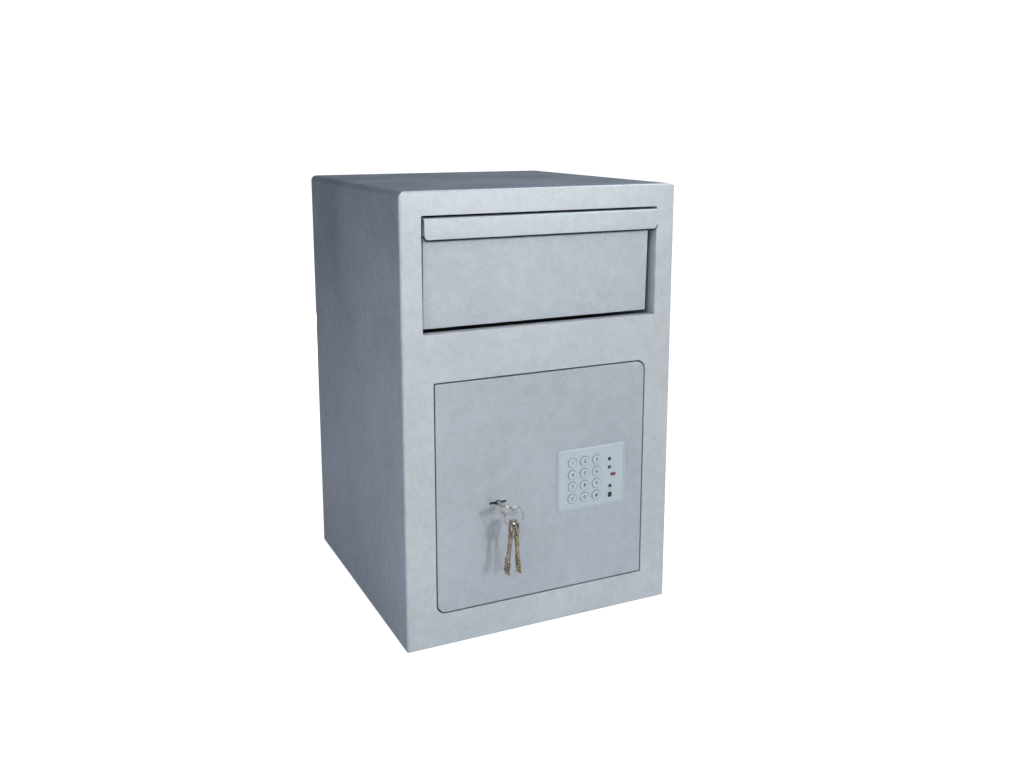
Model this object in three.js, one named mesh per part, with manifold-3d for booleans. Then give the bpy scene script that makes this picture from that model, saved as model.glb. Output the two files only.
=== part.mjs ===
// Deposit safe: sheet-steel cabinet, upper deposit drawer on telescopic runners with a tipping pan,
// lower safe door with a keypad and a double-bit key lock.
// Millimetres, +Z up, front faces -Y, origin at the centre of the casing's underside.
import * as THREE from 'three';
import { mergeVertices } from 'three/addons/utils/BufferGeometryUtils.js';
import Module from 'manifold-3d';

const wasm = await Module();
wasm.setup();

// ---- driving dimensions ----
const WIDTH = 350;                 // casing, X
const DEPTH = 365;                 // casing, Y
const HEIGHT = 530;                // casing, Z
const SHEET = 3;                   // casing sheet
const EDGE_R = 3;                  // outer bend radius
const CORNER_R = 8;                // upper corners as seen from the front

const DRAWER_OPENING = { x: 150, z0: 372, z1: 503, r: 1.5 };
const SILL_DEPTH = 12.5;           // folded sill under the drawer, from the front face
const CHEEK = 2.5;                 // drawer cage sheet
const CAGE_BACK = 80;
const CAGE_TOP = 504;
const SHELF_Z = 345;
const SHELF_BACK = 50;             // deposits fall behind this edge
const COMB = { z0: 300, pitch: 20, thick: 3 };

const DRAWER_TRAVEL = 190;
// The front panel leans in a little from its top edge (yTop) to its foot (yFoot).
const DRAWER_FRONT = { x: 144.6, z0: 376, z1: 500.2, yFoot: -169.3, yTop: -172.5, sheet: 2 };
const LIP = { x: 147.6, y: -186.5, drop: 23.4, corner: 4.5, bend: 2.8 };
const DRAWER_SIDE = { x: 133, sheet: 2, z0: 378, z1: 470, back: 50 };
const RUNNER = { z: 445, front: -158, back: 60, sheet: 1.5 };

const PAN_PIVOT = { y: 40, z: 382.5, r: 3 };
const PAN = { x: 129, front: -156, back: 42, sheet: 2, wall: 18 };
const PAN_TILT = 28;               // degrees, front edge up while the drawer is shut
const LEVER = { length: 35, width: 11, x: 138, sheet: 3.5, roller: 4, rollerEnd: 147 };
const CAM_GAP = 0.5;
const FLAP = { y: 46, z: 466, rod: 2.5, length: 74, x: 126, sheet: 1.5 };

const DOOR_OPENING = { x: 138.5, z0: 39.5, z1: 316.5, r: [1.5, 12, 2, 12] };
const DOOR_GAP = 1.8;
const DOOR_RADII = [1.5, 10.4, 1.5, 10.4];
const DOOR_SHEET = 4;
const DOOR_AXIS = { x: 114.7, y: -173.5 };
const HINGE = { pin: 3, bore: 3.3, blockHeight: 19 };
const DOOR_FRAME = { x0: -128, x1: 104, z0: 48, z1: 308, sheet: 2, back: -158 };
const BOLT = { r: 6, y: -165, tip: -130.5, tail: -98, levels: [110, 240] };

const KEY_AXIS = { x: -60.2, z: 164.6 };
const KEY = { length: 64, bow: 18, bowLength: 19, thick: 2.2, shank: 2.5, bits: 20, bitLength: 14 };
const KEY_EYE = { half: 5.4, y0: 5, y1: 14, corner: 2.6 };
const KEY_OUT = 40;                // how far the key stands out of the door
const RING = { r: 11.5, wire: 0.9, web: 7.2, drop: 8.2, along: 11.6 };
const SPARE_HANG = 6.9;            // key end to the wire it hangs from
const SPARE_TWIST = 9;             // degrees away from square to the door
const SPARES = [{ dx: -2.6, lean: 7 }, { dx: 2.7, lean: -3 }];

const KEYPAD = { x0: 17.4, x1: 111.9, z0: 137.9, z1: 216.1, r: 5, proud: 3, bevel: 2.2, rim: 3 };
const BUTTON = { x: 37.2, z: 199.2, dx: 16.6, dz: 15.1, r: 5.6, gap: 0.3 };
const BUTTON_NAMES = ['1', '2', '3', '4', '5', '6', '7', '8', '9', 'clear', '0', 'enter'];

// ---- derived levels ----
const FRONT = -DEPTH / 2;
const BACK = DEPTH / 2;
const INNER_FRONT = FRONT + SHEET;
const INNER_BACK = BACK - SHEET;
const INNER_X = WIDTH / 2 - SHEET;
const DOOR_BACK = FRONT + DOOR_SHEET;
const SEAM = 0.3;                  // gap kept where one piece meets a slanted one
const RAD = Math.PI / 180;

// ---- materials ----
const finish = (color, roughness, metalness) =>
  new THREE.MeshStandardMaterial({ color, roughness, metalness });
const PAINT = finish(0xb9c0c6, 0.45, 0.2);
const ZINC = finish(0xa9adb0, 0.4, 0.9);
const STEEL = finish(0xc4c6c8, 0.3, 1.0);
const BRASS = finish(0xc9a65a, 0.3, 1.0);
const DARK = finish(0x2b2d30, 0.55, 0.1);
const PAD_SHELL = finish(0xaebec7, 0.5, 0.1);
const PAD_FACE = finish(0xb5c6cf, 0.45, 0.0);
const PAD_KEY = finish(0xc3cdd2, 0.5, 0.0);

// ---- solid helpers ----
function toSolid(geometry) {
  const bare = geometry.index ? geometry.clone() : geometry;
  bare.deleteAttribute('normal');
  bare.deleteAttribute('uv');
  const merged = mergeVertices(bare, 1e-4);
  const mesh = new wasm.Mesh({
    numProp: 3,
    vertProperties: new Float32Array(merged.attributes.position.array),
    triVerts: new Uint32Array(merged.index.array),
  });
  return new wasm.Manifold(mesh);
}

function toGeometry(solid) {
  const { vertProperties, triVerts } = solid.getMesh();
  const geometry = new THREE.BufferGeometry();
  geometry.setAttribute('position', new THREE.BufferAttribute(new Float32Array(vertProperties), 3));
  geometry.setIndex(new THREE.BufferAttribute(new Uint32Array(triVerts), 1));
  return geometry;
}

function placed(solid, ...matrices) {
  const geometry = toGeometry(solid);
  matrices.forEach((matrix) => geometry.applyMatrix4(matrix));
  return toSolid(geometry);
}

const union = (first, ...rest) => rest.reduce((sum, next) => sum.add(next), first);
const cut = (first, ...rest) => rest.reduce((left, next) => left.subtract(next), first);
const move = (x, y, z) => new THREE.Matrix4().makeTranslation(x, y, z);
const turnX = (degrees) => new THREE.Matrix4().makeRotationX(degrees * RAD);
const turnY = (degrees) => new THREE.Matrix4().makeRotationY(degrees * RAD);
const turnZ = (degrees) => new THREE.Matrix4().makeRotationZ(degrees * RAD);

function block(x0, x1, y0, y1, z0, z1) {
  const geometry = new THREE.BoxGeometry(x1 - x0, y1 - y0, z1 - z0);
  geometry.translate((x0 + x1) / 2, (y0 + y1) / 2, (z0 + z1) / 2);
  return toSolid(geometry);
}

const X = new THREE.Vector3(1, 0, 0);
const Y = new THREE.Vector3(0, 1, 0);
const Z = new THREE.Vector3(0, 0, 1);
const PLANES = {
  xy: new THREE.Matrix4(),
  yz: new THREE.Matrix4().makeBasis(Y, Z, X),
  xz: new THREE.Matrix4().makeBasis(X, Z, Y.clone().negate()),
};

// A drawn shape pushed along the axis its plane leaves out.
function prism(plane, shape, from, to, curveSegments = 3) {
  const geometry = new THREE.ExtrudeGeometry(shape, {
    depth: to - from, bevelEnabled: false, curveSegments,
  });
  geometry.translate(0, 0, plane === 'xz' ? -to : from);
  geometry.applyMatrix4(PLANES[plane]);
  return toSolid(geometry);
}

// A plate in the XZ plane whose front edge, on the -Y side, is bevelled.
function bevelledPlate(shape, from, to, bevel) {
  const geometry = new THREE.ExtrudeGeometry(shape, {
    depth: to - from - bevel,
    bevelThickness: bevel,
    bevelSize: bevel,
    bevelOffset: -bevel,
    bevelSegments: 2,
    curveSegments: 4,
  });
  geometry.translate(0, 0, -to);
  geometry.applyMatrix4(PLANES.xz);
  return toSolid(geometry).intersect(block(-WIDTH, WIDTH, from - 1, to, 0, HEIGHT));
}

function rod(plane, a, b, radius, from, to, sides = 24) {
  const shape = new THREE.Shape();
  shape.absarc(a, b, radius, 0, 2 * Math.PI, false);
  return prism(plane, shape, from, to, sides / 2);
}

// Rectangle with corner radii in the order top left, top right, bottom right, bottom left.
function panelShape(a0, a1, b0, b1, radii) {
  const [tl, tr, br, bl] = Array.isArray(radii) ? radii : [radii, radii, radii, radii];
  const shape = new THREE.Shape();
  shape.moveTo(a0 + bl, b0);
  shape.lineTo(a1 - br, b0);
  shape.absarc(a1 - br, b0 + br, br, -Math.PI / 2, 0, false);
  shape.lineTo(a1, b1 - tr);
  shape.absarc(a1 - tr, b1 - tr, tr, 0, Math.PI / 2, false);
  shape.lineTo(a0 + tl, b1);
  shape.absarc(a0 + tl, b1 - tl, tl, Math.PI / 2, Math.PI, false);
  shape.lineTo(a0, b0 + bl);
  shape.absarc(a0 + bl, b0 + bl, bl, Math.PI, 1.5 * Math.PI, false);
  return shape;
}

const outline = (points) => new THREE.Shape(points.map(([a, b]) => new THREE.Vector2(a, b)));

// The span from a to b on the left (-1) or right (+1) of the centre plane.
const span = (side, a, b) => (side > 0 ? [a, b] : [-b, -a]);

const safe = new THREE.Group();
safe.name = 'deposit_safe';

function node(name, solid, material) {
  const geometry = toGeometry(solid).toNonIndexed();
  geometry.computeVertexNormals();
  const mesh = new THREE.Mesh(geometry, material);
  mesh.name = name;
  safe.add(mesh);
}

const SIDES = [['left', -1], ['right', 1]];

// ---- casing ----
const w = WIDTH / 2;
const envelope = prism('xy', panelShape(-w, w, FRONT, BACK, EDGE_R), 0, HEIGHT)
  .intersect(prism('xz', panelShape(-w, w, 0, HEIGHT, [CORNER_R, CORNER_R, 1, 1]), FRONT, BACK))
  .intersect(prism('yz', panelShape(FRONT, BACK, 0, HEIGHT, [EDGE_R, EDGE_R, 1, 1]), -w, w));

const { x: dx, z0: dz0, z1: dz1 } = DRAWER_OPENING;
const drawerHole = prism('xz', panelShape(-dx, dx, dz0, dz1, DRAWER_OPENING.r), FRONT - 1, INNER_FRONT + 1);
const doorHole = prism(
  'xz',
  panelShape(-DOOR_OPENING.x, DOOR_OPENING.x, DOOR_OPENING.z0, DOOR_OPENING.z1, DOOR_OPENING.r),
  FRONT - 1,
  INNER_FRONT + 1,
);
const sill = block(-dx, dx, INNER_FRONT, FRONT + SILL_DEPTH, dz0 - SHEET, dz0);
const fasciaPlate = envelope.intersect(block(-w, w, FRONT, INNER_FRONT, 0, HEIGHT));
node('front_fascia', union(cut(fasciaPlate, drawerHole, doorHole), sill), PAINT);

const innerCorner = CORNER_R - SHEET;
const wrapHollow = prism(
  'xz',
  panelShape(-INNER_X, INNER_X, -2, HEIGHT - SHEET, [innerCorner, innerCorner, 1, 1]),
  FRONT,
  BACK,
);
const wrapLength = block(-w, w, INNER_FRONT, INNER_BACK, 0, HEIGHT);
node('body_wrap', cut(envelope.intersect(wrapLength), wrapHollow), PAINT);
node('back_panel', envelope.intersect(block(-w, w, INNER_BACK, BACK, 0, HEIGHT)), PAINT);
node('bottom_plate', block(-INNER_X, INNER_X, INNER_FRONT, INNER_BACK, 0, SHEET), PAINT);

// ---- drawer cage, drop shelf and anti-fishing comb ----
const cageShell = block(-dx - CHEEK, dx + CHEEK, INNER_FRONT, CAGE_BACK, SHELF_Z + CHEEK, CAGE_TOP + CHEEK);
const cageHollow = block(-dx, dx, INNER_FRONT - 1, CAGE_BACK + 1, SHELF_Z, CAGE_TOP);
node('drawer_cage', cut(cageShell, cageHollow), PAINT);
node('drop_shelf', block(-INNER_X, INNER_X, INNER_FRONT, SHELF_BACK, SHELF_Z, SHELF_Z + CHEEK), ZINC);

const combX = INNER_X - 2;
const teeth = [[-combX, SHELF_Z], [-combX, COMB.z0 + COMB.pitch]];
for (let x = -8; x <= 7; x += 1) {
  teeth.push([(x + 0.5) * COMB.pitch, COMB.z0]);
  teeth.push([(x + 1) * COMB.pitch, COMB.z0 + COMB.pitch]);
}
teeth.push([combX, COMB.z0 + COMB.pitch], [combX, SHELF_Z]);
node('anti_fish_comb', prism('xz', outline(teeth), SHELF_BACK - COMB.thick, SHELF_BACK), ZINC);

// ---- telescopic runners: three channels nested on each side ----
function channel(side, web, open, half, front, back) {
  const [a0, a1] = span(side, Math.min(web, open), Math.max(web, open));
  const inward = open < web ? 1 : -1;
  const wall = RUNNER.sheet;
  const hollow = inward > 0 ? span(side, open - 1, web - wall) : span(side, web + wall, open + 1);
  return cut(
    block(a0, a1, front, back, RUNNER.z - half, RUNNER.z + half),
    block(hollow[0], hollow[1], front - 1, back + 1, RUNNER.z - half + wall, RUNNER.z + half - wall),
  );
}

const sideOuter = DRAWER_SIDE.x + DRAWER_SIDE.sheet;
SIDES.forEach(([word, side]) => {
  node(`runner_outer_${word}`, channel(side, dx, 139.5, 23, RUNNER.front, RUNNER.back), ZINC);
  node(`runner_mid_${word}`, channel(side, 146.3, 138, 20, RUNNER.front + 2, RUNNER.back - 2), ZINC);
  node(`runner_inner_${word}`, channel(side, sideOuter, 143.4, 16, RUNNER.front, DRAWER_SIDE.back), ZINC);
});

// ---- cam rails: they press the pan's rollers down as the drawer goes in ----
function camOutline() {
  const lower = [];
  const steps = 14;
  for (let i = 0; i <= steps; i += 1) {
    const travel = (DRAWER_TRAVEL * i) / steps;
    const angle = PAN_TILT * RAD * (1 - travel / DRAWER_TRAVEL);
    const y = PAN_PIVOT.y - travel + LEVER.length * Math.cos(angle);
    const z = PAN_PIVOT.z - LEVER.length * Math.sin(angle);
    lower.push([y, z + LEVER.roller + CAM_GAP]);
  }
  const upper = lower.map(([y, z]) => [y, z + 9]).reverse();
  return outline([...lower, ...upper]);
}
SIDES.forEach(([word, side]) => {
  const [a0, a1] = span(side, LEVER.x + LEVER.sheet + 0.5, dx);
  node(`cam_rail_${word}`, prism('yz', camOutline(), a0, a1), ZINC);
});

// ---- drawer ----
const front = DRAWER_FRONT;
const panelBack = (z) => {
  const rise = (z - front.z0) / (front.z1 - front.z0);
  return front.yFoot + (front.yTop - front.yFoot) * rise + front.sheet;
};
const panelProfile = outline([
  [front.yFoot, front.z0],
  [front.yFoot + front.sheet, front.z0],
  [front.yTop + front.sheet, front.z1],
  [front.yTop, front.z1],
]);
const bendPoints = [0, 22.5, 45, 67.5, 90].map((degrees) => [
  LIP.y + LIP.bend * (1 - Math.sin(degrees * RAD)),
  front.z1 - LIP.bend * (1 - Math.cos(degrees * RAD)),
]);
const lipProfile = outline([
  [front.yTop + front.sheet, front.z1 - front.sheet],
  [front.yTop + front.sheet, front.z1],
  ...bendPoints,
  [LIP.y, front.z1 - LIP.drop + 0.5],
  [LIP.y + 0.5, front.z1 - LIP.drop],
  [LIP.y + front.sheet - 0.5, front.z1 - LIP.drop],
  [LIP.y + front.sheet, front.z1 - LIP.drop + 0.5],
  [LIP.y + front.sheet, front.z1 - front.sheet],
]);
const lipCorners = SIDES.map(([, side]) => {
  const [a0, a1] = span(side, LIP.x - LIP.corner, LIP.x + 1);
  const low = front.z1 - LIP.drop;
  return cut(
    block(a0, a1, LIP.y - 1, LIP.y + front.sheet + 1, low - 1, low + LIP.corner),
    rod('xz', side * (LIP.x - LIP.corner), low + LIP.corner, LIP.corner, LIP.y - 2, LIP.y + 4, 24),
  );
});
const lipSheet = cut(prism('yz', lipProfile, -LIP.x, LIP.x), ...lipCorners);
node('drawer_front', union(lipSheet, prism('yz', panelProfile, -front.x, front.x)), PAINT);

const { back: sideBack, z0: sideLow, z1: sideHigh } = DRAWER_SIDE;
const sideShape = new THREE.Shape();
sideShape.moveTo(panelBack(sideLow) + SEAM, sideLow);
sideShape.lineTo(sideBack - 4, sideLow);
sideShape.absarc(sideBack - 4, sideLow + 4, 4, -Math.PI / 2, 0, false);
sideShape.lineTo(sideBack, sideHigh - 10);
sideShape.absarc(sideBack - 10, sideHigh - 10, 10, 0, Math.PI / 2, false);
sideShape.lineTo(panelBack(sideHigh) + SEAM, sideHigh);
SIDES.forEach(([word, side]) => {
  const [a0, a1] = span(side, DRAWER_SIDE.x, sideOuter);
  const axleHole = rod('yz', PAN_PIVOT.y, PAN_PIVOT.z, PAN_PIVOT.r + 0.3, a0 - 1, a1 + 1);
  node(`drawer_side_${word}`, cut(prism('yz', sideShape, a0, a1), axleHole), PAINT);
});
const sideInner = DRAWER_SIDE.x;
node('drawer_front_rail', block(-sideInner, sideInner, -150, -130, 379, 385), ZINC);
node('drawer_rear_rail', block(-sideInner, sideInner, 6, 22, 378.5, 381.5), ZINC);
node('flap_rod', rod('yz', FLAP.y, FLAP.z, FLAP.rod, -sideInner, sideInner, 16), STEEL);

// ---- rear flap, hung from its rod ----
const flapTube = rod('yz', FLAP.y, FLAP.z, FLAP.rod + 1.8, -FLAP.x, FLAP.x, 16);
const flapPlate = block(
  -FLAP.x, FLAP.x, FLAP.y - FLAP.sheet / 2, FLAP.y + FLAP.sheet / 2, FLAP.z - FLAP.length, FLAP.z,
);
const flapLow = FLAP.z - FLAP.length;
const flapFoot = block(-FLAP.x, FLAP.x, FLAP.y, FLAP.y + 6, flapLow, flapLow + FLAP.sheet);
const flapBore = rod('yz', FLAP.y, FLAP.z, FLAP.rod + 0.3, -FLAP.x - 1, FLAP.x + 1, 16);
node('rear_flap', cut(union(flapTube, flapPlate, flapFoot), flapBore), ZINC);

// ---- tipping pan, drawn level and then tipped about its axle ----
const tip = [
  move(0, -PAN_PIVOT.y, -PAN_PIVOT.z),
  turnX(-PAN_TILT),
  move(0, PAN_PIVOT.y, PAN_PIVOT.z),
];
const floor = PAN_PIVOT.z + PAN_PIVOT.r;
const trough = cut(
  block(-PAN.x, PAN.x, PAN.front, PAN.back, floor, floor + PAN.wall),
  block(
    -PAN.x + PAN.sheet, PAN.x - PAN.sheet, PAN.front + PAN.sheet, PAN.back + 1,
    floor + PAN.sheet, floor + PAN.wall + 1,
  ),
);
const ears = SIDES.map(([, side]) => {
  const [a0, a1] = span(side, PAN.x - PAN.sheet, PAN.x);
  return block(a0, a1, PAN_PIVOT.y - 8, PAN.back, PAN_PIVOT.z - 4.5, floor + 1);
});
const axleEnd = LEVER.x + LEVER.sheet;
const axle = rod('yz', PAN_PIVOT.y, PAN_PIVOT.z, PAN_PIVOT.r, -axleEnd, axleEnd, 16);
const wideAxle = rod('yz', PAN_PIVOT.y, PAN_PIVOT.z, PAN_PIVOT.r, -200, 200, 16);
node('pan_tray', placed(cut(union(trough, ...ears), wideAxle), ...tip), ZINC);
node('pan_axle', placed(axle, ...tip), STEEL);
SIDES.forEach(([word, side]) => {
  const [a0, a1] = span(side, LEVER.x, LEVER.x + LEVER.sheet);
  const [b0, b1] = span(side, LEVER.x + LEVER.sheet, LEVER.rollerEnd);
  const end = PAN_PIVOT.y + LEVER.length;
  const half = LEVER.width / 2;
  const armShape = panelShape(PAN_PIVOT.y - half, end + 5, PAN_PIVOT.z - half, PAN_PIVOT.z + half, 5);
  const arm = cut(prism('yz', armShape, a0, a1), wideAxle);
  const roller = rod('yz', end, PAN_PIVOT.z, LEVER.roller, b0, b1, 20);
  node(`pan_lever_${word}`, placed(union(arm, roller), ...tip), STEEL);
});

// ---- door hinge parts on the casing ----
const { x: hx, y: hy } = DOOR_AXIS;
const pinSolid = (z0, z1) => rod('xy', hx, hy, HINGE.pin, z0, z1, 20);
const bracketProfile = (near, far, lift) => outline([
  [INNER_FRONT, near],
  [-162, near],
  [-162, near + 3 * lift],
  [INNER_FRONT + 2.5, near + 3 * lift],
  [INNER_FRONT + 2.5, far],
  [INNER_FRONT, far],
]);
const upperBracket = prism('yz', bracketProfile(318.5, 340, 1), hx - 15, hx + 17);
const lowerBracket = prism('yz', bracketProfile(37.5, 12, -1), hx - 15, hx + 17);
node('hinge_bracket_upper', cut(upperBracket, pinSolid(300, 330)), ZINC);
node('hinge_bracket_lower', cut(lowerBracket, pinSolid(20, 50)), ZINC);
node('hinge_pin_upper', pinSolid(298, 323), STEEL);
node('hinge_pin_lower', pinSolid(33, 58), STEEL);

// Strike behind the left jamb: the bolts lie behind it, and its lip stops the door.
const strikeShape = outline([
  [-156, INNER_FRONT],
  [-140.5, INNER_FRONT],
  [-140.5, -177.9],
  [-133.5, -177.9],
  [-133.5, -175.4],
  [-141, -175.4],
  [-141, -172],
  [-156, -172],
]);
node('strike_plate', prism('xy', strikeShape, 80, 270), ZINC);

// ---- door ----
const doorEdge = {
  x: DOOR_OPENING.x - DOOR_GAP,
  z0: DOOR_OPENING.z0 + DOOR_GAP,
  z1: DOOR_OPENING.z1 - DOOR_GAP,
};
const doorShape = panelShape(
  -doorEdge.x, doorEdge.x, doorEdge.z0, doorEdge.z1, DOOR_RADII,
);
const keySlot = union(
  block(KEY_AXIS.x - 11, KEY_AXIS.x + 11, FRONT - 1, DOOR_BACK + 1, KEY_AXIS.z - 1.6, KEY_AXIS.z + 1.6),
  rod('xz', KEY_AXIS.x, KEY_AXIS.z, KEY.shank + 0.7, FRONT - 1, DOOR_BACK + 1),
);
const tub = { x0: 26, x1: 98, z0: 143.5, z1: 209.3, back: -172 };
const padCutout = block(
  tub.x0 - 0.3, tub.x1 + 0.3, FRONT - 1, DOOR_BACK + 1, tub.z0 - 0.3, tub.z1 + 0.3,
);
node('door_panel', cut(prism('xz', doorShape, FRONT, DOOR_BACK), keySlot, padCutout), PAINT);

const frame = DOOR_FRAME;
const boltSolid = (z) => rod('yz', BOLT.y, z, BOLT.r, BOLT.tip, BOLT.tail, 24);
const boltHoles = BOLT.levels.map((z) => rod('yz', BOLT.y, z, BOLT.r + 0.3, frame.x0 - 1, frame.x0 + 4, 24));
const frameWall = cut(
  block(frame.x0, frame.x1, DOOR_BACK, frame.back, frame.z0, frame.z1),
  block(
    frame.x0 + frame.sheet, frame.x1 - frame.sheet, DOOR_BACK - 1, frame.back + 1,
    frame.z0 + frame.sheet, frame.z1 - frame.sheet,
  ),
);
node('door_frame', cut(frameWall, ...boltHoles), PAINT);

[['upper', 313 - HINGE.blockHeight], ['lower', 43]].forEach(([word, z0]) => {
  const z1 = z0 + HINGE.blockHeight;
  const knuckle = block(hx - 8.7, hx + 9.3, DOOR_BACK, -166.5, z0, z1);
  node(`hinge_block_${word}`, cut(knuckle, rod('xy', hx, hy, HINGE.bore, z0 - 1, z1 + 1, 20)), ZINC);
});

// ---- lock, bolts and electronics on the back of the door ----
const caseShape = panelShape(-95, -42, 132, 197, 3);
const bitSpace = rod('xz', KEY_AXIS.x, KEY_AXIS.z, 12, DOOR_BACK - 1, -158, 28);
node('lock_case', cut(prism('xz', caseShape, DOOR_BACK, -155.5), bitSpace), ZINC);
node('lock_motor', rod('yz', DOOR_BACK + 11, 222, 11, -92, -48, 24), STEEL);
node('control_box', prism('xz', panelShape(-20, 92, 224, 300, 3), DOOR_BACK, -150), DARK);

const bar = block(-106, BOLT.tail, -163, -157, 96, 254);
const tail = block(-106, BOLT.tail, -157, -152, 159, 170);
const tongue = block(BOLT.tail, -62, -155.2, -152, 159, 170);
node('bolt_bar', cut(union(bar, tail, tongue), ...BOLT.levels.map(boltSolid)), STEEL);
node('bolt_upper', boltSolid(BOLT.levels[1]), STEEL);
node('bolt_lower', boltSolid(BOLT.levels[0]), STEEL);

// ---- keypad ----
const pad = KEYPAD;
const padFront = FRONT - pad.proud;
const faceBack = padFront + 1.4;
const padOutline = (inset, r) =>
  panelShape(pad.x0 + inset, pad.x1 - inset, pad.z0 + inset, pad.z1 - inset, r);
const padShell = union(
  bevelledPlate(padOutline(0, pad.r), padFront, FRONT, pad.bevel),
  block(tub.x0, tub.x1, FRONT - 0.2, tub.back, tub.z0, tub.z1),
);
const faceSpace = prism('xz', padOutline(pad.rim, 2.6), padFront - 1, faceBack);
const padHollow = block(
  tub.x0 + 1.5, tub.x1 - 1.5, faceBack - 0.5, tub.back - 1.5, tub.z0 + 1.5, tub.z1 - 1.5,
);
node('keypad_housing', cut(padShell, faceSpace, padHollow), PAD_SHELL);

const spots = BUTTON_NAMES.map((name, i) => ({
  name,
  x: BUTTON.x + BUTTON.dx * (i % 3),
  z: BUTTON.z - BUTTON.dz * Math.floor(i / 3),
}));
const facePlate = prism('xz', padOutline(pad.rim + 0.15, 2.5), padFront + 0.4, faceBack);
const wells = spots.map(({ x, z }) =>
  rod('xz', x, z, BUTTON.r + BUTTON.gap, padFront - 1, faceBack + 1, 20));
node('keypad_face', cut(facePlate, ...wells), PAD_FACE);
spots.forEach(({ name, x, z }) => {
  node(`keypad_button_${name}`, rod('xz', x, z, BUTTON.r, padFront - 0.7, faceBack + 2, 20), PAD_KEY);
});

// ---- keys: drawn lying in the XY plane, bow end at y = 0, bits towards +Y ----
function doubleBitKey() {
  const half = KEY.bow / 2;
  const bow = prism('xy', panelShape(-half, half, 0, KEY.bowLength, 7.5), -KEY.thick / 2, KEY.thick / 2);
  const eyeShape = panelShape(-KEY_EYE.half, KEY_EYE.half, KEY_EYE.y0, KEY_EYE.y1, KEY_EYE.corner);
  const eye = prism('xy', eyeShape, -KEY.thick, KEY.thick);
  const shank = rod('xz', 0, 0, KEY.shank, KEY.bowLength - 4, KEY.length, 16);
  const collar = rod('xz', 0, 0, KEY.shank + 0.7, KEY.bowLength - 1, KEY.bowLength + 3, 16);
  const b = KEY.bits / 2;
  const y0 = KEY.length - 1.5 - KEY.bitLength;
  const step = KEY.bitLength / 7;
  const depths = [0, 2.5, 1, 4, 1.5, 3, 0];
  const rightEdge = depths.flatMap((d, i) => [[b - d, y0 + i * step], [b - d, y0 + (i + 1) * step]]);
  const leftEdge = rightEdge.map(([x, y]) => [-x, y]).reverse();
  const bits = prism('xy', outline([...rightEdge, ...leftEdge]), -KEY.thick / 2, KEY.thick / 2);
  return union(cut(bow, eye), shank, collar, bits);
}
const keySolid = doubleBitKey();
const keyEnd = FRONT - KEY_OUT;
node('lock_key', placed(keySolid, move(KEY_AXIS.x, keyEnd, KEY_AXIS.z)), STEEL);

const ringY = keyEnd + RING.along;
const ringX = KEY_AXIS.x + RING.web;
const ringZ = KEY_AXIS.z - RING.drop;
const torus = new THREE.TorusGeometry(RING.r, RING.wire, 8, 32);
torus.rotateX(90 * RAD);
torus.translate(ringX, ringY, ringZ);
node('key_ring', toSolid(torus), STEEL);

SPARES.forEach(({ dx: shift, lean }, i) => {
  const hung = placed(
    keySolid,
    move(0, -SPARE_HANG, 0),
    turnX(-90),
    turnZ(90 - SPARE_TWIST),
    turnY(lean),
    move(ringX + shift, ringY, ringZ - RING.r),
  );
  node(`spare_key_${i + 1}`, hung, BRASS);
});

export default safe;
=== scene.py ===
import math

import bmesh
import bpy
from mathutils import Matrix, Vector


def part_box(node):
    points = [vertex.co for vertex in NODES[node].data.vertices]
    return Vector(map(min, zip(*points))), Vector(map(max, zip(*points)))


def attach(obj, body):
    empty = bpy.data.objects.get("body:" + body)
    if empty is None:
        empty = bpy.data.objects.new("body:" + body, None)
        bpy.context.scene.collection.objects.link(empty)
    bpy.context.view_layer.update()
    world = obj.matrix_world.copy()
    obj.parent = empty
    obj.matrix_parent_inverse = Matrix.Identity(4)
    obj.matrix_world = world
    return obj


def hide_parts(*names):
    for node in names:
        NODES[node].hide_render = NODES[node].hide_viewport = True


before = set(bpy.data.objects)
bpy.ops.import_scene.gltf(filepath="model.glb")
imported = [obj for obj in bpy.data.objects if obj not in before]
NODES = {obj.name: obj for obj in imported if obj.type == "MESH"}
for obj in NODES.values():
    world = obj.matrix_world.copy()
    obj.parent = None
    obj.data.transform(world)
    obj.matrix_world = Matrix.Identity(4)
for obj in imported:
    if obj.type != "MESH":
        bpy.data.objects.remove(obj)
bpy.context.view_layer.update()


MM = 0.001
FORWARD = (0, -1, 0)
BACKWARD = (0, 1, 0)

# ---------------------------------------------------------------- node helpers


def material(name):
    mat = bpy.data.materials.new(name)
    mat.use_nodes = True
    tree = mat.node_tree
    return mat, tree, tree.nodes["Principled BSDF"]


def add(tree, kind, inputs=None, **props):
    node = tree.nodes.new(kind)
    for key, value in props.items():
        setattr(node, key, value)
    for key, value in (inputs or {}).items():
        node.inputs[key].default_value = value
    return node


def coords(tree, stretch=(1, 1, 1)):
    tex = add(tree, "ShaderNodeTexCoord")
    mapping = add(tree, "ShaderNodeMapping", {"Scale": stretch})
    tree.links.new(tex.outputs["Object"], mapping.inputs["Vector"])
    return mapping.outputs["Vector"]


def noise(tree, vector, scale, detail, rough=0.55):
    node = add(tree, "ShaderNodeTexNoise", {"Scale": scale, "Detail": detail, "Roughness": rough})
    tree.links.new(vector, node.inputs["Vector"])
    return node.outputs["Fac"]


def ramp(tree, fac, stops):
    node = add(tree, "ShaderNodeValToRGB")
    elements = node.color_ramp.elements
    while len(elements) < len(stops):
        elements.new(0.5)
    for element, (pos, colour) in zip(elements, stops):
        element.position = pos
        element.color = (*colour, 1.0)
    tree.links.new(fac, node.inputs["Fac"])
    return node.outputs["Color"]


def remap(tree, fac, low, high, out_low, out_high):
    node = add(tree, "ShaderNodeMapRange", {1: low, 2: high, 3: out_low, 4: out_high})
    tree.links.new(fac, node.inputs[0])
    return node.outputs[0]


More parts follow.
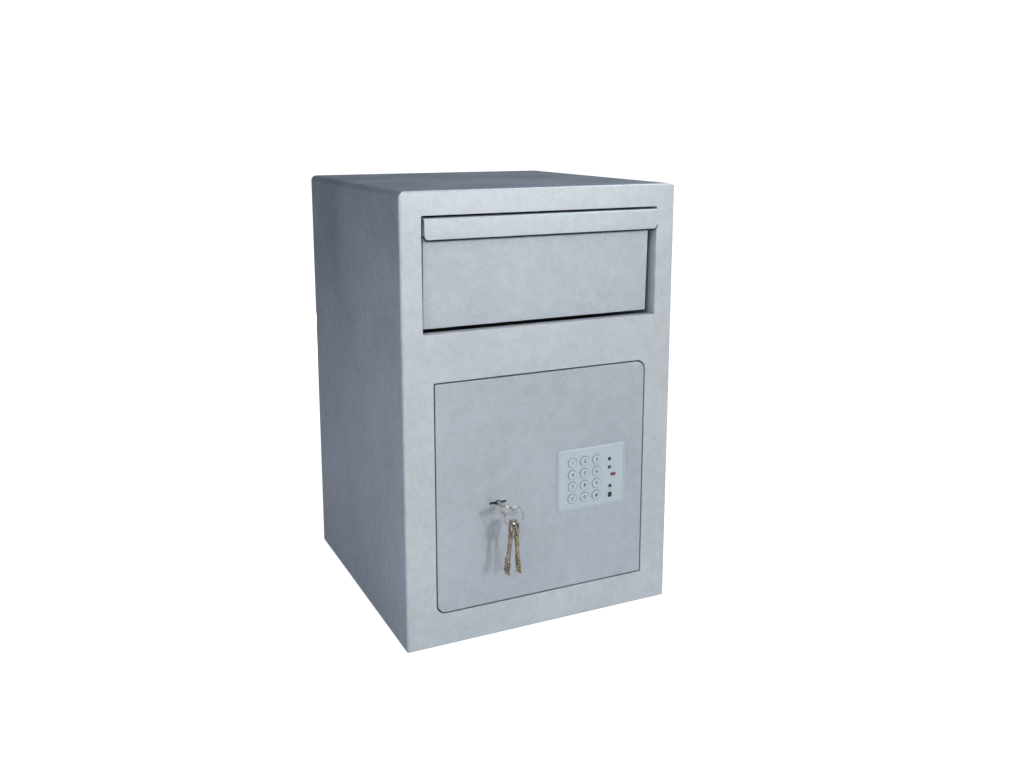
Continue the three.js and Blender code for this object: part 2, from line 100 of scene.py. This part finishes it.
def multiply(tree, first, second):
    node = add(tree, "ShaderNodeMix", {0: 1.0}, data_type="RGBA", blend_type="MULTIPLY")
    tree.links.new(first, node.inputs[6])
    tree.links.new(second, node.inputs[7])
    return node.outputs[2]


def bump(tree, height, strength, distance, below=None):
    node = add(tree, "ShaderNodeBump", {"Strength": strength, "Distance": distance})
    tree.links.new(height, node.inputs["Height"])
    if below is not None:
        tree.links.new(below, node.inputs["Normal"])
    return node.outputs["Normal"]


def tone(colour, factor):
    return tuple(min(1.0, c * factor) for c in colour)


def grey(value):
    return (value,) * 3


# ---------------------------------------------------------------- materials

# Noise scales, per metre of the object.
PAINT_CLOUD = 9.0
PAINT_MOTTLE = 85.0
ORANGE_PEEL = 420.0
PAINT_SPECK = 1500.0
PLASTIC_CLOUD = 60.0
PLASTIC_GRAIN = 2600.0
# The darkest and the lightest speckle, as factors on the paint's colour.
SPECK_DARK = 0.88
SPECK_LIGHT = 1.13


def powder_coat(name, colour, metallic=0.45, rough=0.48, spread=0.05, mottling=0.07):
    """Silver-grey powder coat: faint clouding, mottling, fine speckle and a shallow orange peel."""
    mat, tree, shader = material(name)
    vector = coords(tree)
    cloud = noise(tree, vector, PAINT_CLOUD, 4.0)
    mottle = noise(tree, vector, PAINT_MOTTLE, 4.0, 0.75)
    speck = noise(tree, vector, PAINT_SPECK, 2.0, 0.7)
    base = ramp(tree, cloud, [(0.3, tone(colour, 1 - spread)), (0.7, tone(colour, 1 + spread))])
    patches = ramp(tree, mottle, [(0.3, grey(1 - mottling)), (0.7, grey(1 + mottling))])
    flecks = ramp(tree, speck, [(0.35, grey(SPECK_DARK)), (0.5, grey(1.0)), (0.68, grey(SPECK_LIGHT))])
    mixed = multiply(tree, multiply(tree, base, patches), flecks)
    tree.links.new(mixed, shader.inputs["Base Color"])
    gloss = remap(tree, cloud, 0.3, 0.7, rough - 0.04, rough + 0.04)
    tree.links.new(gloss, shader.inputs["Roughness"])
    shader.inputs["Metallic"].default_value = metallic
    peel = bump(tree, noise(tree, vector, ORANGE_PEEL, 2.0), 0.16, 0.6 * MM)
    grain = bump(tree, speck, 0.10, 0.2 * MM, peel)
    tree.links.new(grain, shader.inputs["Normal"])
    return mat


def plated(name, colour, rough, stretch, grain, patina=0.12, metallic=0.92, clouds=38.0):
    """Plated or rolled metal: patina clouds, and a drawn grain that varies the gloss and scores it."""
    mat, tree, shader = material(name)
    vector = coords(tree)
    drawn = coords(tree, stretch)
    cloud = noise(tree, vector, clouds, 5.0)
    lines = noise(tree, drawn, grain, 2.0, 0.6)
    dull, bright = tone(colour, 1 - patina), tone(colour, 1 + 0.5 * patina)
    tree.links.new(ramp(tree, cloud, [(0.28, dull), (0.72, bright)]), shader.inputs["Base Color"])
    gloss = remap(tree, lines, 0.25, 0.75, rough - 0.07, rough + 0.09)
    tree.links.new(gloss, shader.inputs["Roughness"])
    shader.inputs["Metallic"].default_value = metallic
    tree.links.new(bump(tree, lines, 0.12, 0.2 * MM), shader.inputs["Normal"])
    return mat


def moulded(name, colour, rough, grain=0.12, spread=0.03, coat=0.0):
    """Moulded plastic with a fine spark-eroded grain."""
    mat, tree, shader = material(name)
    vector = coords(tree)
    cloud = noise(tree, vector, PLASTIC_CLOUD, 3.0)
    fine = noise(tree, vector, PLASTIC_GRAIN, 2.0, 0.6)
    base = ramp(tree, cloud, [(0.3, tone(colour, 1 - spread)), (0.7, tone(colour, 1 + spread))])
    tree.links.new(base, shader.inputs["Base Color"])
    gloss = remap(tree, fine, 0.3, 0.7, rough - 0.05, rough + 0.05)
    tree.links.new(gloss, shader.inputs["Roughness"])
    shader.inputs["Coat Weight"].default_value = coat
    tree.links.new(bump(tree, fine, grain, 0.1 * MM), shader.inputs["Normal"])
    return mat


# One paint in lit and shaded copies, each set lighter or darker for the light its parts get. The
# fascia copy is painted light. The casing's top, sides and back get painted shade, darker and bluer.
# The door and the inner parts of the recesses get painted shade too. The drawer front's copy lies
# between fascia and door.
PAINT_SHADED_CASING = powder_coat("silver_powder_coat", (0.545, 0.60, 0.69), spread=0.09, mottling=0.11)
PAINT_FRONT_LIT = powder_coat("silver_powder_coat_fascia_painted_light", (0.655, 0.70, 0.735))
PAINT_DRAWER = powder_coat("silver_powder_coat_drawer", (0.625, 0.68, 0.725))
PAINT_DOOR_SHADED = powder_coat("silver_powder_coat_door_painted_shade", (0.565, 0.61, 0.665))
# Painted shade: a darker copy for the cage, door frame and drawer sides inside the recesses.
PAINT_INSIDE_SHADED = powder_coat(
    "silver_powder_coat_inside_painted_shade", (0.53, 0.58, 0.64), metallic=0.3, rough=0.55, spread=0.07
)
ZINC = plated("zinc_sheet", (0.60, 0.62, 0.63), rough=0.38, stretch=(0.12, 1, 1), grain=600.0)
ZINC_RUNNER = plated("zinc_runner", (0.62, 0.64, 0.66), rough=0.3, stretch=(1, 0.05, 1), grain=900.0)
STEEL = plated(
    "plated_steel", (0.64, 0.65, 0.66), rough=0.26, stretch=(1, 0.2, 1), grain=900.0,
    patina=0.08, metallic=1.0,
)
KEY_STEEL = plated(
    "nickel_key", (0.58, 0.57, 0.54), rough=0.24, stretch=(1, 0.15, 1), grain=1400.0,
    patina=0.2, metallic=1.0,
)
WORN_BRASS = {
    "rough": 0.20, "stretch": (1, 1, 0.15), "grain": 1400.0,
    "patina": 0.6, "metallic": 1.0, "clouds": 150.0,
}
BRASS_RED = plated("worn_brass_key_red", (0.47, 0.38, 0.30), **WORN_BRASS)
BRASS_PALE = plated("worn_brass_key_pale", (0.54, 0.48, 0.32), **WORN_BRASS)
DARK = moulded("dark_moulding", (0.035, 0.037, 0.040), rough=0.5, grain=0.25)
PAD_SHELL = moulded("keypad_shell", (0.58, 0.665, 0.72), rough=0.42)
PAD_FACE = moulded("keypad_face", (0.60, 0.69, 0.745), rough=0.38, grain=0.05, spread=0.02, coat=0.15)
PAD_KEY = moulded("keypad_button", (0.62, 0.71, 0.76), rough=0.4, grain=0.06, spread=0.02, coat=0.1)
PAD_RING = moulded("keypad_print_blue", (0.30, 0.42, 0.55), rough=0.45, grain=0.05)
PAD_MARK = moulded("keypad_print_dark", (0.045, 0.075, 0.10), rough=0.45, grain=0.05)
LENS_GLOSS = {"grain": 0.02, "coat": 0.6}
LENS_DARK = moulded("lens_smoked", (0.012, 0.018, 0.020), rough=0.16, spread=0.05, **LENS_GLOSS)
LENS_RED = moulded("lens_red", (0.26, 0.05, 0.095), rough=0.18, spread=0.08, **LENS_GLOSS)
# Black rubber for the fixing-hole plugs. The same black also serves as painted shade in the strip
# under the finger pull.
RUBBER_AND_PAINTED_SHADE = moulded("black_rubber_and_painted_shade", (0.02, 0.02, 0.021), rough=0.7, grain=0.3)

# ---------------------------------------------------------------- carried-over CAD nodes

WELD_DISTANCE = 0.01
EDGE_ANGLE = 28
FACE_WEIGHT = 60
BUTTONS = ["1", "2", "3", "4", "5", "6", "7", "8", "9", "clear", "0", "enter"]


def dress(name, mat, width, segments):
    """Gives a CAD node its material, joins its facets and rounds its edges by width in mm."""
    obj = NODES[name]
    obj.data.materials.clear()
    obj.data.materials.append(mat)
    for polygon in obj.data.polygons:
        polygon.use_smooth = True
    if "custom_normal" in obj.data.attributes:
        obj.data.attributes.remove(obj.data.attributes["custom_normal"])
    weld = obj.modifiers.new("weld", "WELD")
    weld.merge_threshold = WELD_DISTANCE * MM
    edge = obj.modifiers.new("edge", "BEVEL")
    edge.width = width * MM
    edge.segments = segments
    edge.limit_method = "ANGLE"
    edge.angle_limit = math.radians(EDGE_ANGLE)
    edge.harden_normals = True
    edge.use_clamp_overlap = True
    edge.miter_outer = "MITER_ARC"
    level = obj.modifiers.new("level", "WEIGHTED_NORMAL")
    level.mode = "FACE_AREA"
    level.weight = FACE_WEIGHT
    level.keep_sharp = True


# Material, edge width in mm, edge segments, and the nodes that share them.
FINISHES = [
    (PAINT_SHADED_CASING, 0.15, 1, ["body_wrap", "back_panel", "bottom_plate"]),
    (PAINT_FRONT_LIT, 0.15, 1, ["front_fascia"]),
    (PAINT_DOOR_SHADED, 0.2, 2, ["door_panel"]),
    (PAINT_DRAWER, 0.3, 2, ["drawer_front"]),
    (PAINT_INSIDE_SHADED, 0.3, 2, ["drawer_cage", "door_frame", "drawer_side_left", "drawer_side_right"]),
    (ZINC, 0.35, 2, [
        "drop_shelf", "anti_fish_comb", "cam_rail_left", "cam_rail_right", "drawer_front_rail",
        "drawer_rear_rail", "rear_flap", "pan_tray", "hinge_bracket_upper", "hinge_bracket_lower",
        "strike_plate", "hinge_block_upper", "hinge_block_lower", "lock_case",
    ]),
    (ZINC_RUNNER, 0.3, 2, [
        "runner_outer_left", "runner_outer_right", "runner_mid_left", "runner_mid_right",
        "runner_inner_left", "runner_inner_right",
    ]),
    (STEEL, 0.5, 3, [
        "flap_rod", "pan_axle", "pan_lever_left", "pan_lever_right", "hinge_pin_upper",
        "hinge_pin_lower", "lock_motor", "bolt_bar", "bolt_upper", "bolt_lower",
    ]),
    (KEY_STEEL, 0.35, 3, ["lock_key"]),
    (BRASS_RED, 0.35, 3, ["spare_key_1"]),
    (BRASS_PALE, 0.35, 3, ["spare_key_2"]),
    (DARK, 1.2, 3, ["control_box"]),
    (PAD_SHELL, 0.45, 3, ["keypad_housing"]),
    (PAD_FACE, 0.15, 2, ["keypad_face"]),
    (PAD_KEY, 0.9, 4, [f"keypad_button_{label}" for label in BUTTONS]),
]
for finish, edge_width, edge_segments, names in FINISHES:
    for node_name in names:
        dress(node_name, finish, edge_width, edge_segments)

# ---------------------------------------------------------------- piece helpers


def place_piece(obj, body):
    bpy.context.scene.collection.objects.link(obj)
    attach(obj, body)
    return obj


def finish_mesh(name, bm, mat, body, smooth=True):
    mesh = bpy.data.meshes.new(name)
    bmesh.ops.recalc_face_normals(bm, faces=bm.faces)
    bm.to_mesh(mesh)
    bm.free()
    for polygon in mesh.polygons:
        polygon.use_smooth = smooth
    mesh.materials.append(mat)
    return place_piece(bpy.data.objects.new(name, mesh), body)


def facing(normal):
    """Rotation that takes +Z to the given direction."""
    return Vector(normal).to_track_quat("Z", "Y").to_matrix().to_4x4()


def circle(sides):
    """Cosine and sine of evenly spaced angles."""
    angles = [2 * math.pi * i / sides for i in range(sides)]
    return [(math.cos(angle), math.sin(angle)) for angle in angles]


def bridge(bm, first, second):
    """Faces between two rings of vertices; a ring of one vertex is a pole."""
    sides = max(len(first), len(second))
    for i in range(sides):
        j = (i + 1) % sides
        corners = []
        for ring, k in ((first, i), (first, j), (second, j), (second, i)):
            vert = ring[k % len(ring)]
            if vert not in corners:
                corners.append(vert)
        bm.faces.new(corners)


def turned(bm, profile, place, sides):
    """Adds a turned form; profile is (radius, height) in mm, from the axis round to the axis."""
    rings = []
    for radius, height in profile:
        around = circle(sides) if radius else [(0, 0)]
        points = [Vector((radius * c, radius * s, height)) * MM for c, s in around]
        rings.append([bm.verts.new(place @ point) for point in points])
    for low, high in zip(rings, rings[1:]):
        bridge(bm, low, high)


def tube(name, points, radius, mat, body, sides=10):
    """A round wire along an open path; points in metres, radius in mm."""
    bm = bmesh.new()
    rings = []
    for i, point in enumerate(points):
        ahead = (points[min(i + 1, len(points) - 1)] - points[max(i - 1, 0)]).normalized()
        across = ahead.cross(Vector(BACKWARD)).normalized()
        over = across.cross(ahead).normalized()
        spokes = [radius * MM * (c * across + s * over) for c, s in circle(sides)]
        rings.append([bm.verts.new(point + spoke) for spoke in spokes])
    for first, second in zip(rings, rings[1:]):
        bridge(bm, first, second)
    bm.faces.new(rings[0])
    bm.faces.new(list(reversed(rings[-1])))
    return finish_mesh(name, bm, mat, body)


# ---------------------------------------------------------------- split key ring

COIL_WIRE = 0.46
COIL_PITCH = 0.9
COIL_INSET = 0.5
COIL_SQUEEZE = 0.03
COIL_TURNS = 2
COIL_STEPS = 40
# The coil starts at this angle in radians, and ends this many steps short of its full turns.
COIL_START = 0.9
COIL_GAP = 3
# The second turn lies beside the first; the crossover is short, in shares of a turn.
CROSSOVER_AT = 0.88
CROSSOVER_LENGTH = 0.24

ring_low, ring_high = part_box("key_ring")
ring_mid = (ring_low + ring_high) / 2
ring_radius = (ring_high.x - ring_low.x) / 2 - COIL_INSET * MM
coil = []
for i in range(COIL_TURNS * COIL_STEPS - COIL_GAP):
    t = i / COIL_STEPS
    angle = 2 * math.pi * t + COIL_START
    crossed = min(1.0, max(0.0, (t - CROSSOVER_AT) / CROSSOVER_LENGTH))
    shift = COIL_PITCH * MM * (crossed - 0.5)
    radial = ring_radius - COIL_SQUEEZE * MM * math.sin(math.pi * t)
    coil.append(ring_mid + Vector((radial * math.cos(angle), shift, radial * math.sin(angle))))
split_ring = tube("split_ring", coil, COIL_WIRE, KEY_STEEL, "key_ring")
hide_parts("key_ring")

# ---------------------------------------------------------------- keypad details

# The keypad's face in mm; other y, x and z values in mm are in the same frame.
FACE_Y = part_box("keypad_face")[0].y / MM
PRINT_INNER = 6.0
PRINT_OUTER = 6.5
PRINT_HEIGHT = 0.08
PRINT_SINK = 0.02
PRINT_SIDES = 40


def button_front(label):
    """Middle of a button's front face."""
    low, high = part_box(f"keypad_button_{label}")
    mid = (low + high) / 2
    return Vector((mid.x, low.y, mid.z))


print_rings = bmesh.new()
for label in BUTTONS:
    centre = button_front(label) / MM
    back, front = FACE_Y + PRINT_SINK, FACE_Y - PRINT_HEIGHT
    loops = []
    for radius, y in (
        (PRINT_INNER, back), (PRINT_INNER, front), (PRINT_OUTER, front), (PRINT_OUTER, back),
    ):
        points = [(centre.x + radius * c, y, centre.z + radius * s) for c, s in circle(PRINT_SIDES)]
        loops.append([print_rings.verts.new(Vector(point) * MM) for point in points])
    for k, loop in enumerate(loops):
        bridge(print_rings, loop, loops[(k + 1) % len(loops)])
finish_mesh("keypad_button_rings", print_rings, PAD_RING, "door")

SYMBOLS = {"clear": "C", "enter": "#"}
DIGIT_SIZE = 6.2
DIGIT_HALF_THICK = 0.04
DIGIT_BOLD = 0.12
DIGIT_LIFT = 0.01
for label in BUTTONS:
    curve = bpy.data.curves.new(f"digit_{label}", "FONT")
    curve.body = SYMBOLS.get(label, label)
    curve.size = DIGIT_SIZE * MM
    curve.extrude = DIGIT_HALF_THICK * MM
    curve.offset = DIGIT_BOLD * MM
    curve.resolution_u = 3
    curve.align_x = "CENTER"
    curve.align_y = "CENTER"
    text = bpy.data.objects.new(f"digit_text_{label}", curve)
    bpy.context.scene.collection.objects.link(text)
    text.rotation_euler = (math.pi / 2, 0, 0)
    text.location = button_front(label) + DIGIT_LIFT * MM * Vector(FORWARD)
    bpy.context.view_layer.update()
    mesh = bpy.data.meshes.new_from_object(text.evaluated_get(bpy.context.evaluated_depsgraph_get()))
    mesh.transform(text.matrix_world)
    mesh.materials.clear()
    mesh.materials.append(PAD_MARK)
    bpy.data.objects.remove(text)
    digit = bpy.data.objects.new(f"keypad_digit_{label}", mesh)
    place_piece(digit, f"button_{label}")

LENS = [(0, -0.3), (1.9, -0.3), (1.9, 0.15), (1.6, 0.5), (1.0, 0.78), (0.4, 0.9), (0, 0.92)]
LENS_SIDES = 28
TILE_SINK = 0.15
TILE_RIM = 0.22


def lens(name, x, z, scale):
    bm = bmesh.new()
    place = Matrix.Translation(Vector((x, FACE_Y, z)) * MM) @ facing(FORWARD)
    turned(bm, LENS, place @ Matrix.Scale(scale, 4), LENS_SIDES)
    finish_mesh(name, bm, LENS_DARK, "door")


def pad_tile(name, x, z, wide, tall, thick, corner, mat):
    """A small tile with rounded corners, lying on the keypad's face; sizes in mm."""
    bm = bmesh.new()
    bmesh.ops.create_cube(bm, size=1.0)
    for vert in bm.verts:
        vert.co = Vector((vert.co.x * wide, vert.co.y * thick, vert.co.z * tall)) * MM
    through = [e for e in bm.edges if abs(e.verts[0].co.y - e.verts[1].co.y) > 1e-6]
    bmesh.ops.bevel(bm, geom=through, offset=corner * MM, segments=5, affect="EDGES", profile=0.5)
    rim = [e for e in bm.edges if all(v.co.y < 0 for v in e.verts)]
    bmesh.ops.bevel(bm, geom=rim, offset=TILE_RIM * MM, segments=2, affect="EDGES", profile=0.5)
    centre = Vector((x, FACE_Y + TILE_SINK - 0.5 * thick, z))
    bmesh.ops.translate(bm, verts=bm.verts, vec=centre * MM)
    finish_mesh(name, bm, mat, "door", smooth=False)


lens("lamp_upper", 88.8, 197.2, 1.2)
lens("lamp_second", 88.8, 186.6, 1.15)
lens("lamp_lower", 90.0, 162.4, 1.2)
pad_tile("status_lamp_red", 93.9, 177.2, 6.8, 3.8, 1.0, 1.2, LENS_RED)
pad_tile("battery_contact_socket", 89.9, 151.3, 4.8, 6.2, 0.9, 0.9, LENS_DARK)

# ---------------------------------------------------------------- fasteners and small fittings

PAN_HEAD = [
    (0, -0.4), (3.0, -0.4), (3.0, 0.5), (2.85, 1.1), (2.3, 1.7), (1.3, 2.05), (1.15, 1.2), (0, 1.15),
]
RIVET = [(0, -0.3), (2.6, -0.3), (2.6, 0.25), (2.3, 0.75), (1.5, 1.15), (0.6, 1.3), (0, 1.32)]
WELD_SPOT = [(0, -0.3), (3.6, -0.3), (3.6, 0.08), (3.2, 0.34), (2.3, 0.34), (1.8, 0.08), (0, 0.02)]
PLUG = [(0, -0.3), (8.0, -0.3), (8.0, 0.4), (7.5, 1.2), (6.2, 1.6), (5.4, 1.2), (2.4, 1.0), (0, 1.0)]
BACK_Y = 182.5


def grid(xs, y, zs):
    return [(x, y, z) for x in xs for z in zs]


def fasteners(name, spots, body, normal=BACKWARD, profile=PAN_HEAD, mat=STEEL, sides=20):
    """One mesh of equal turned pieces that stand on spots given in mm."""
    bm = bmesh.new()
    for spot in spots:
        turned(bm, profile, Matrix.Translation(Vector(spot) * MM) @ facing(normal), sides)
    finish_mesh(name, bm, mat, body)


fasteners("bracket_screws", grid((106, 124), -177.0, (332, 21)), "cabinet")
fasteners("strike_screws", grid((-150.5,), -172.0, (92, 175, 258)), "cabinet")
comb_spots = grid(range(-150, 151, 60), 47.0, (335,))
fasteners("comb_rivets", comb_spots, "cabinet", FORWARD, RIVET, ZINC, 18)
fasteners("lock_case_screws", grid((-89, -48), -155.5, (138, 191)), "door")
fasteners("control_box_screws", grid((-13, 85), -150.0, (231, 293)), "door")
fasteners("hinge_block_screws", grid((109.6, 120.4), -166.5, (303.5, 52.5)), "door")

# A black strip under the finger pull's folded lip, round both of its lower corners. It is painted
# shade, standing in for the thin shadow line under the lip.
LIP_MIDDLE_Y = -185.2
LIP_LOW = 476.8
LIP_END = 147.6
LIP_CORNER = 4.5
SHADOW_STRIP_RADIUS = 1.15
SHADOW_STRIP_REACH = LIP_CORNER + 0.85
CORNER_STEPS = 6
shadow_strip_path = []
for side in (-1, 1):
    arc = []
    for i in range(CORNER_STEPS + 1):
        turn = math.radians(90 * i / CORNER_STEPS)
        x = side * (LIP_END - LIP_CORNER + SHADOW_STRIP_REACH * math.cos(turn))
        z = LIP_LOW + LIP_CORNER - SHADOW_STRIP_REACH * math.sin(turn)
        arc.append(Vector((x, LIP_MIDDLE_Y, z)) * MM)
    shadow_strip_path += arc if side < 0 else arc[::-1]
tube("finger_pull_shadow_strip", shadow_strip_path, SHADOW_STRIP_RADIUS, RUBBER_AND_PAINTED_SHADE, "drawer", 12)

# Spot welds along the edges of the back panel, and rubber plugs as for two fixing holes.
weld_spots = [(x, BACK_Y, z) for z in range(30, 511, 48) for x in (-164, 164)]
weld_spots += grid(range(-120, 121, 48), BACK_Y, (12, 518))
fasteners("back_spot_welds", weld_spots, "cabinet", BACKWARD, WELD_SPOT, PAINT_SHADED_CASING, 24)
plug_spots = grid((-95, 95), BACK_Y, (430,))
fasteners("fixing_hole_plugs", plug_spots, "cabinet", BACKWARD, PLUG, RUBBER_AND_PAINTED_SHADE, 36)

# ---------------------------------------------------------------- stage, light and camera

FLOOR_HALF = 60
FLOOR_DROP = 0.4
FLOOR_CLOUD = 2.0
# What the camera sees of the floor also glows, from the near strength to the far one over
# these distances in metres, so that floor and backdrop meet without an edge.
GLOW_FROM, GLOW_TO = 0.6, 2.6
GLOW_NEAR, GLOW_FAR = 0.80, 1.1


def split_by_camera_ray(tree, others, camera, output):
    """One shader for light and reflections, another for what the camera sees directly."""
    path = add(tree, "ShaderNodeLightPath")
    pick = add(tree, "ShaderNodeMixShader")
    tree.links.new(path.outputs["Is Camera Ray"], pick.inputs[0])
    tree.links.new(others.outputs[0], pick.inputs[1])
    tree.links.new(camera.outputs[0], pick.inputs[2])
    tree.links.new(pick.outputs[0], tree.nodes[output].inputs["Surface"])


def floor_material():
    mat, tree, shader = material("studio_floor")
    vector = coords(tree)
    shade = ramp(tree, noise(tree, vector, FLOOR_CLOUD, 2.0), [(0.3, grey(0.90)), (0.7, grey(0.92))])
    tree.links.new(shade, shader.inputs["Base Color"])
    shader.inputs["Roughness"].default_value = 0.9
    shader.inputs["Specular IOR Level"].default_value = 0.0
    away = add(tree, "ShaderNodeVectorMath", operation="LENGTH")
    tree.links.new(vector, away.inputs[0])
    glow = add(tree, "ShaderNodeEmission")
    strength = remap(tree, away.outputs["Value"], GLOW_FROM, GLOW_TO, GLOW_NEAR, GLOW_FAR)
    tree.links.new(strength, glow.inputs["Strength"])
    both = add(tree, "ShaderNodeAddShader")
    tree.links.new(shader.outputs[0], both.inputs[0])
    tree.links.new(glow.outputs[0], both.inputs[1])
    split_by_camera_ray(tree, shader, both, "Material Output")
    return mat


floor_mesh = bpy.data.meshes.new("studio_floor")
floor_corners = [(x * FLOOR_HALF, y * FLOOR_HALF, 0) for x, y in ((-1, -1), (1, -1), (1, 1), (-1, 1))]
floor_mesh.from_pydata(floor_corners, [], [(0, 1, 2, 3)])
floor_mesh.materials.append(floor_material())
studio_floor = bpy.data.objects.new("studio_floor", floor_mesh)
studio_floor.location.z = -FLOOR_DROP * MM
bpy.context.scene.collection.objects.link(studio_floor)

# The sky's colour from just below the horizon up to the zenith.
SKY = [
    (0.0, (0.34, 0.35, 0.38)),
    (0.16, (0.22, 0.23, 0.26)),
    (0.42, (0.07, 0.075, 0.09)),
    (1.0, (0.03, 0.033, 0.04)),
]
SKY_LOW = -0.1
SKY_STRENGTH = 0.14
BACKDROP_STRENGTH = 1.15

scene = bpy.context.scene
world = bpy.data.worlds.new("studio")
scene.world = world
world.use_nodes = True
world_tree = world.node_tree
sky_light = world_tree.nodes["Background"]
sky_direction = add(world_tree, "ShaderNodeTexCoord")
sky_axes = add(world_tree, "ShaderNodeSeparateXYZ")
world_tree.links.new(sky_direction.outputs["Generated"], sky_axes.inputs[0])
sky_height = remap(world_tree, sky_axes.outputs["Z"], SKY_LOW, 1.0, 0.0, 1.0)
world_tree.links.new(ramp(world_tree, sky_height, SKY), sky_light.inputs["Color"])
sky_light.inputs["Strength"].default_value = SKY_STRENGTH
backdrop = add(
    world_tree, "ShaderNodeBackground", {"Color": (1, 1, 1, 1), "Strength": BACKDROP_STRENGTH}
)
split_by_camera_ray(world_tree, sky_light, backdrop, "World Output")

# The middle of the casing.
CENTRE = Vector((0, 0, 0.265))


def area(name, azimuth, elevation, distance, size, power, colour=(1, 1, 1), aim=CENTRE, tall=None):
    """Azimuth 0 is straight in front of the door, positive towards +X."""
    a, e = math.radians(azimuth), math.radians(elevation)
    outward = Vector((math.sin(a) * math.cos(e), -math.cos(a) * math.cos(e), math.sin(e)))
    data = bpy.data.lights.new(name, "AREA")
    data.shape = "RECTANGLE"
    data.size = size
    data.size_y = tall or size
    data.energy = power
    data.color = colour
    light = bpy.data.objects.new(name, data)
    light.location = aim + outward * distance
    light.rotation_euler = (-outward).to_track_quat("-Z", "Y").to_euler()
    scene.collection.objects.link(light)


area("key_light", 22, 13.5, 3.0, 0.33, 21.0)
area("left_fill", -36, 25, 1.3, 0.8, 3.9, (1.0, 0.99, 0.86))
area("left_cool_fill", -54, 28, 1.7, 1.0, 5.6, (0.68, 0.75, 1.0))
area("right_high_fill", 72, 58, 2.0, 1.0, 17.5, (0.86, 0.91, 0.98))
# These two stand lower than the top of the casing and light only the right side and the back.
LOW_AIM = Vector((0, 0, 0.27))
LOW_TALL = 0.45
PALE_BLUE = (0.95, 0.98, 1.0)
area("right_fill", 100, 0, 2.0, 0.8, 6.0, PALE_BLUE, LOW_AIM, LOW_TALL)
area("back_fill", 170, 0, 2.0, 0.5, 9.0, PALE_BLUE, LOW_AIM, LOW_TALL)

CAMERA_AT = (-0.5287, -1.2062, 0.6014)
CAMERA_YAW = 25.426
CAMERA_DOWN = 10.597
camera_data = bpy.data.cameras.new("camera")
camera_data.lens = 35.68
camera_data.sensor_width = 36.0
camera_data.shift_y = -0.07
camera_data.clip_end = 200.0
camera = bpy.data.objects.new("camera", camera_data)
camera.location = CAMERA_AT
camera.rotation_euler = (math.radians(90 - CAMERA_DOWN), 0, -math.radians(CAMERA_YAW))
scene.collection.objects.link(camera)
scene.camera = camera

scene.view_settings.view_transform = "Standard"
scene.view_settings.look = "None"
